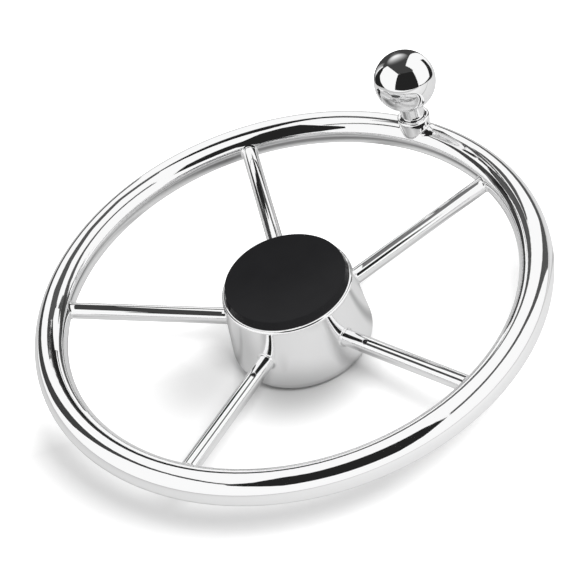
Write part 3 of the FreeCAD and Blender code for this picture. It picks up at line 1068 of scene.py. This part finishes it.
# These strips hang a few millimetres from the rim, the spokes and the socket, and only the steel
# mirrors them: they paint dark and bright reflections along them
STRIP_CARDS = (
    BentCard("far_rim_strip", (
        (-16, 145, 60), (-16, 143, 58),
        (-4, 146, 60), (-5, 141, 53),
        (10, 150, 63), (8, 140, 49),
        (24, 150, 64), (21, 139, 50),
        (37, 148, 64), (34, 137, 51),
        (49, 139, 61), (46, 133, 52),
        (63, 131, 58), (62, 129, 56),
    ), BLACK),
    BentCard("left_rim_strip", (
        (-65, 149, 64), (-62, 146, 65),
        (-97, 134, 63), (-93, 131, 64),
        (-121, 113, 63), (-116, 110, 64),
        (-138, 89, 63), (-132, 86, 64),
        (-151, 64, 63), (-142, 61, 63),
        (-158, 37, 63), (-150, 36, 62),
    ), SLATE),
    BentCard("left_rim_gap", (
        (-147, 46, 62), (-142, 45, 59),
        (-150, 36, 62), (-143, 35, 58),
        (-151, 22, 61), (-145, 23, 55),
        (-151, 9, 60), (-147, 9, 57),
    ), WHITE),
    Card("right_rim_strip", at_z(
        122,
        (147, 60), (158, 60), (162, 67), (173, 92), (168, 116), (152, 139), (147, 139),
    ), SLATE),
    Card("socket_shade", (
        (108, 101.5, 59.5), (111.5, 99.5, 62.5), (118, 99.5, 62.5), (122, 102, 62),
        (122, 102.5, 58), (118, 100.5, 56), (112, 100, 58),
    ), BLACK),
    Card("left_spoke_strip", (
        (-137, 57, 56), (-109, 41, 51), (-81, 29, 47), (-56, 19, 42), (-46, 15, 41),
        (-51, 1, 41), (-61, 6, 43), (-86, 16, 47), (-113, 29, 51), (-142, 39, 56),
    ), DARK),
    Card("right_spoke_strip", (
        (49, 23, 41), (78, 32, 46), (102, 38, 50), (125, 46, 54), (140, 50, 56),
        (140, 43, 56), (126, 38, 54), (103, 30, 50), (80, 23, 46), (50, 13, 41),
    ), ASH),
)


@dataclass
class Studio:
    """A white room with soft light, a pale floor, and dark cards for the steel to show.

    The painted lights are a glow on the floor that only the camera sees. It grows over a span to
    the right, to the left, behind the hub and away from the wheel on all sides, and fades the
    wheel's shadow there. The mirrored shadow is a painted dark arc on the floor behind the hub
    that only shows in the steel.
    """

    ambient: float = 0.80
    lamp_power: float = 8.7
    lamp_size: float = 0.42
    lamp_place: tuple[float, float, float] = (0.38, -0.56, 1.0)
    floor_seen: float = 0.95
    floor_mirrored: float = 0.60
    # Painted light on the floor: a glow that only the camera sees, over the spans below
    right_painted_light: float = 0.25
    right_span: tuple[float, float] = (20.0 * MM, 130.0 * MM)
    back_painted_light: float = 0.5
    back_span: tuple[float, float] = (0.0, 70.0 * MM)
    outer_painted_light: float = 0.45
    outer_span: tuple[float, float] = (215.0 * MM, 420.0 * MM)
    left_painted_light: float = 0.4
    left_span: tuple[float, float] = (-125.0 * MM, -165.0 * MM)
    left_back_span: tuple[float, float] = (-30.0 * MM, 5.0 * MM)
    hub_shades: tuple[SoftShade, ...] = HUB_SHADES
    hub_mirrored_shadows: tuple[MirroredShadowStreak, ...] = HUB_MIRRORED_SHADOWS
    # A painted dark arc on the floor under the far rim, which only the steel mirrors
    mirrored_shadow_share: float = 0.7
    mirrored_shadow_radius: float = 112.0 * MM
    mirrored_shadow_span: tuple[float, float] = (50.0 * MM, 6.0 * MM)
    mirrored_shadow_back_span: tuple[float, float] = (50.0 * MM, 80.0 * MM)
    mirrored_shadow_middle: float = 15.0 * MM
    mirrored_shadow_side_span: tuple[float, float] = (70.0 * MM, 25.0 * MM)
    floor_reach: float = 6.0
    floor_level: float = -0.05 * MM
    cards: tuple[Card, ...] = ROOM_CARDS + KNOB_CARDS + STRIP_CARDS

    def build(self) -> None:
        """Set up the room."""
        self.light_world()
        self.hang_lamp()
        self.lay_floor()
        for card in self.cards:
            card.build()
        LOG.info("studio: %d cards", len(self.cards))

    def light_world(self) -> None:
        """White where it is seen or reflected, and a softer level as light."""
        world = bpy.data.worlds.new("white_room")
        bpy.context.scene.world = world
        tree = Tree.of(world)
        background = tree.node("ShaderNodeBackground", {
            "Color": (1.0, 1.0, 1.0, 1.0),
            "Strength": looked_at(tree) * (1.0 - self.ambient) + self.ambient,
        })
        tree.node("ShaderNodeOutputWorld", {"Surface": tree.wire(background)})
        world.cycles.sampling_method = "NONE"

    def hang_lamp(self) -> None:
        """One soft lamp overhead, in front and to the right."""
        data = bpy.data.lights.new("overhead_softbox", "AREA")
        data.shape = "SQUARE"
        data.size = self.lamp_size
        data.energy = self.lamp_power
        lamp = place_object("overhead_softbox", data)
        lamp.location = self.lamp_place
        lamp.rotation_euler = Vector(self.lamp_place).to_track_quat("Z", "Y").to_euler()
        lamp.visible_glossy = False

    def lay_floor(self) -> None:
        """A pale floor that reads as white, keeps the wheel's shadow and carries painted light and
        painted shadow.
        """
        near, far = -self.floor_reach, self.floor_reach
        mesh = bpy.data.meshes.new("floor")
        mesh.from_pydata([
            (x, y, self.floor_level) for x, y in ((near, near), (far, near), (far, far), (near, far))
        ], [], [(0, 1, 2, 3)])
        mesh.materials.append(self.floor_finish())
        place_object("floor", mesh)

    def floor_finish(self) -> bpy.types.Material:
        """The floor's white, which is brighter where it is seen than where the steel mirrors it.

        Returns:
            The material.
        """
        material = bpy.data.materials.new("pale_floor")
        tree = Tree.of(material)
        seen = tree.wire(tree.node("ShaderNodeLightPath"), "Is Camera Ray")
        plain = tree.blend(seen, tree.chalk(self.floor_mirrored), tree.chalk(self.floor_seen))
        # Painted light is added where the camera sees the floor, and painted shadow turns the floor
        # towards black
        with_painted_light = tree.node("ShaderNodeAddShader", {0: plain, 1: self.painted_light(tree, seen)})
        tree.finish(tree.blend(self.shade(tree, seen), tree.wire(with_painted_light), tree.chalk(BLACK)))
        material.cycles.emission_sampling = "NONE"
        return material

    def shade(self, tree: Tree, seen: Wire) -> Wire:
        """The painted shadow round the hub's foot, and the painted shadow arc and streaks that only
        show mirrored.

        Args:
            tree: The floor's tree.
            seen: One where the camera sees the floor.

        Returns:
            The share of light that is lost.
        """
        x, y, _ = tree.position()
        off_line = tree.maths("ABSOLUTE", tree.length(x, y) - self.mirrored_shadow_radius)
        off_middle = tree.maths("ABSOLUTE", x - self.mirrored_shadow_middle)
        shade = tree.ramp(off_line, self.mirrored_shadow_span, self.mirrored_shadow_share, Rise.SOFT)
        shade = shade * tree.ramp(off_middle, self.mirrored_shadow_side_span)
        shade = shade * tree.ramp(y, self.mirrored_shadow_back_span)
        for streak in self.hub_mirrored_shadows:
            shade = tree.maths("MAXIMUM", shade, streak.share(tree, x, y))
        shade = shade * (1.0 - seen)
        for round_shade in self.hub_shades:
            shade = tree.maths("MAXIMUM", shade, round_shade.share(tree, x, y))
        return shade

    def painted_light(self, tree: Tree, seen: Wire) -> Wire:
        """Painted light: a glow on the floor that only the camera sees, and that fades the wheel's
        shadow.

        Args:
            tree: The floor's tree.
            seen: One where the camera sees the floor.

        Returns:
            The shader to add to the floor's own.
        """
        x, y, _ = tree.position()
        share = (
            tree.ramp(tree.length(x, y), self.outer_span, self.outer_painted_light)
            + tree.ramp(x, self.right_span, self.right_painted_light)
            + tree.ramp(y, self.back_span, self.back_painted_light)
            + tree.ramp(x, self.left_span, self.left_painted_light) * tree.ramp(y, self.left_back_span)
        )
        return tree.blend(share * seen, tree.glow(0.0), tree.glow(1.0))


@dataclass(frozen=True)
class PhotoCamera:
    """The camera at the photograph's distance, height and roll.

    It looks at a point a little above the rim's centre, as the unrolled picture has it.
    """

    distance: float = 1.2845
    azimuth: float = math.radians(-88.5)
    elevation: float = math.radians(43.35652)
    roll: float = math.radians(18.046)
    aim_above: float = 2.79 * MM
    lens: float = 124.11
    sensor: float = 36.0

    def build(self) -> None:
        """Place the camera and make it the scene's own."""
        level = math.cos(self.elevation)
        out = Vector((
            level * math.cos(self.azimuth), level * math.sin(self.azimuth),
            math.sin(self.elevation),
        ))
        right = UP.cross(out).normalized()
        above = out.cross(right)
        place = SIZES.rim_centre + out * self.distance
        aim = SIZES.rim_centre + above * self.aim_above
        back = (place - aim).normalized()
        above = back.cross(right)
        basis = Matrix((right, above, back)).transposed()
        turn = basis @ Matrix.Rotation(-self.roll, 3, "Z")
        data = bpy.data.cameras.new("photo_camera")
        data.lens = self.lens
        data.sensor_width = self.sensor
        camera = place_object("photo_camera", data)
        camera.matrix_world = Matrix.Translation(place) @ turn.to_4x4()
        bpy.context.scene.camera = camera


def main() -> None:
    """Build the studio, the camera and every sub-assembly."""
    logging.basicConfig(level=logging.INFO, format="%(message)s")
    bpy.context.scene.view_settings.view_transform = "Standard"
    Studio().build()
    PhotoCamera().build()
    finishes = Finishes()
    copies = RingOfCopies()
    for part in (
        Rim(finishes),
        Spokes(finishes, copies),
        Hub(finishes),
        CentreCap(finishes),
        SpinnerKnob(finishes),
    ):
        part.build()


if __name__ == "__main__":
    main()
